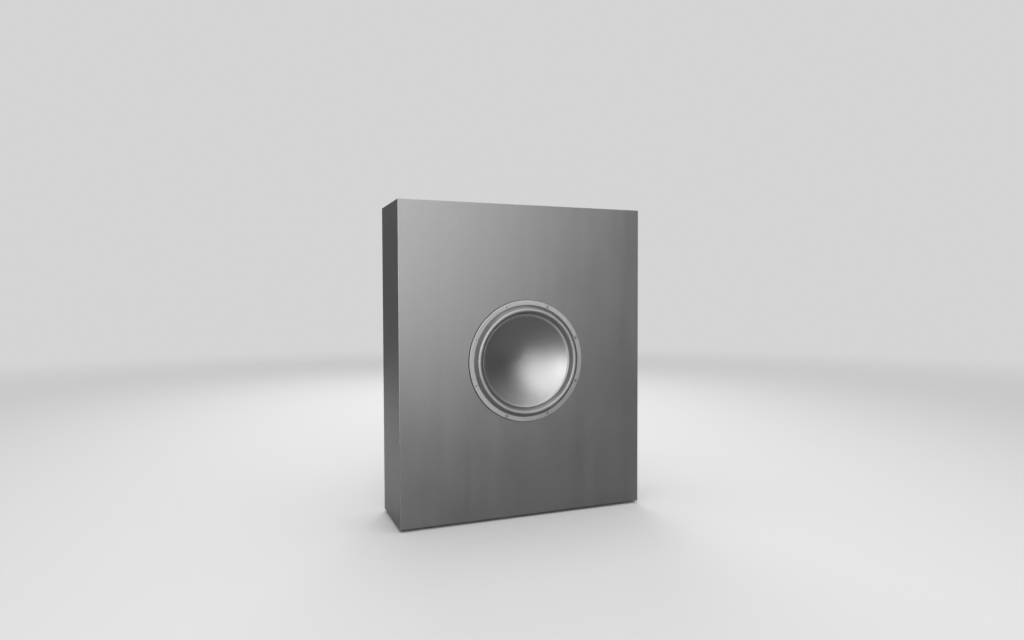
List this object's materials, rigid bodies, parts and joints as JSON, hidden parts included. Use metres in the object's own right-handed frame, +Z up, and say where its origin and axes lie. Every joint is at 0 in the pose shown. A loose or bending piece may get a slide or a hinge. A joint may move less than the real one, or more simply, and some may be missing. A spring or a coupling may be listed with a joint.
{
  "type": "subwoofer",
  "caption": "Slim free-standing active subwoofer: flat satin metal cabinet with a concave metal dish driver in the middle of its face and an amplifier panel on its back.",
  "frame": {"origin": "on the floor, under the middle of the bounding box: on the cabinet's own mid-plane and half way between its front and rear faces", "axes": "+Z up, -Y out of the front face with the driver, +X to the right for someone looking at the front"},
  "size_m": [0.565, 0.1876, 0.685],
  "materials": {
    "satin_aluminium": "satin, fine beaded grain, clear anodised",
    "cast_aluminium": "satin machined ring, cast behind",
    "cone_metal": "spun satin, brighter than the cabinet",
    "board_wood": "raw fibreboard",
    "painted_board": "fibreboard, black textured paint",
    "surround_rubber": "smooth satin, grey",
    "foot_rubber": "matte, black",
    "foam": "closed-cell foam",
    "fibre": "loose polyester wadding",
    "spider_cloth": "resin-treated woven cloth",
    "black_metal": "black anodised, satin",
    "plated_steel": "zinc plated",
    "ferrite": "ground sintered ceramic magnet",
    "copper": "enamelled copper winding",
    "black_plastic": "moulded, fine spark-eroded texture",
    "circuit_green": "lacquered laminate",
    "led_lens": "clear tinted moulding"
  },
  "bodies": {
    "cabinet": {"amp_cover": "black_metal", "amp_plate": "black_metal", "amp_screw_1": "plated_steel", "amp_screw_2": "plated_steel", "amp_screw_3": "plated_steel", "amp_screw_4": "plated_steel", "baffle_board": "board_wood", "bottom_board": "board_wood", "brace_left": "board_wood", "brace_right": "board_wood", "circuit_board": "circuit_green", "crossover_pot": "plated_steel", "driver_basket": "cast_aluminium", "driver_gasket": "foam", "driver_screw_1": "plated_steel", "driver_screw_2": "plated_steel", "driver_screw_3": "plated_steel", "driver_screw_4": "plated_steel", "driver_screw_5": "plated_steel", "driver_screw_6": "plated_steel", "driver_screw_7": "plated_steel", "driver_screw_8": "plated_steel", "front_fascia": "satin_aluminium", "heat_sink": "black_metal", "lead_wire_a": "copper", "lead_wire_b": "copper", "magnet_ring": "ferrite", "mains_inlet": "black_plastic", "outer_sleeve": "satin_aluminium", "phase_switch": "plated_steel", "pole_yoke": "plated_steel", "rca_block": "black_plastic", "rear_panel": "painted_board", "side_board_left": "board_wood", "side_board_right": "board_wood", "speaker_cable": "black_plastic", "spider": "spider_cloth", "status_led": "led_lens", "surround": "surround_rubber", "switch_bezel": "black_plastic", "terminal_block": "black_plastic", "top_board": "board_wood", "top_plate": "plated_steel", "transformer": "copper", "volume_pot": "plated_steel", "wadding_sheet": "fibre"},
    "moving_cone": {"cone_dish": "cone_metal", "coil_former": "spider_cloth", "voice_coil": "copper"},
    "volume_control": {"volume_shaft": "plated_steel", "volume_knob": "black_plastic"},
    "crossover_control": {"crossover_shaft": "plated_steel", "crossover_knob": "black_plastic"},
    "phase_lever": {"phase_slider": "black_plastic"},
    "power_key": {"power_rocker": "black_plastic"},
    "fuse_carrier": {"fuse_drawer": "black_plastic"},
    "foot_1_screwed": {"foot_1": "foot_rubber"},
    "foot_2_screwed": {"foot_2": "foot_rubber"},
    "foot_3_screwed": {"foot_3": "foot_rubber"},
    "foot_4_screwed": {"foot_4": "foot_rubber"}
  },
  "joints": [
    {"name": "cone_travel", "type": "slide", "parent": "cabinet", "child": "moving_cone", "axis": [0, -1, 0], "range_m": [-0.012, 0.012], "stiffness_N_per_m": 1900, "deforming": ["surround", "spider", "lead_wire_a", "lead_wire_b"]},
    {"name": "volume_turn", "type": "hinge", "parent": "cabinet", "child": "volume_control", "pos_m": [-0.08, 0.0848, 0.138], "axis": [0, -1, 0], "range_deg": [-150, 150]},
    {"name": "crossover_turn", "type": "hinge", "parent": "cabinet", "child": "crossover_control", "pos_m": [-0.044, 0.0848, 0.138], "axis": [0, -1, 0], "range_deg": [-150, 150]},
    {"name": "phase_slide", "type": "slide", "parent": "cabinet", "child": "phase_lever", "axis": [1, 0, 0], "range_m": [0, 0.004]},
    {"name": "power_rock", "type": "hinge", "parent": "cabinet", "child": "power_key", "pos_m": [0.08, 0.0818, 0.141], "axis": [1, 0, 0], "range_deg": [0, 20]},
    {"name": "fuse_pull", "type": "slide", "parent": "cabinet", "child": "fuse_carrier", "axis": [0, 1, 0], "range_m": [0, 0.016]},
    {"name": "foot_1_height", "type": "slide", "parent": "cabinet", "child": "foot_1_screwed", "axis": [0, 0, -1], "range_m": [0, 0.008]},
    {"name": "foot_2_height", "type": "slide", "parent": "cabinet", "child": "foot_2_screwed", "axis": [0, 0, -1], "range_m": [0, 0.008]},
    {"name": "foot_3_height", "type": "slide", "parent": "cabinet", "child": "foot_3_screwed", "axis": [0, 0, -1], "range_m": [0, 0.008]},
    {"name": "foot_4_height", "type": "slide", "parent": "cabinet", "child": "foot_4_screwed", "axis": [0, 0, -1], "range_m": [0, 0.008]}
  ]
}
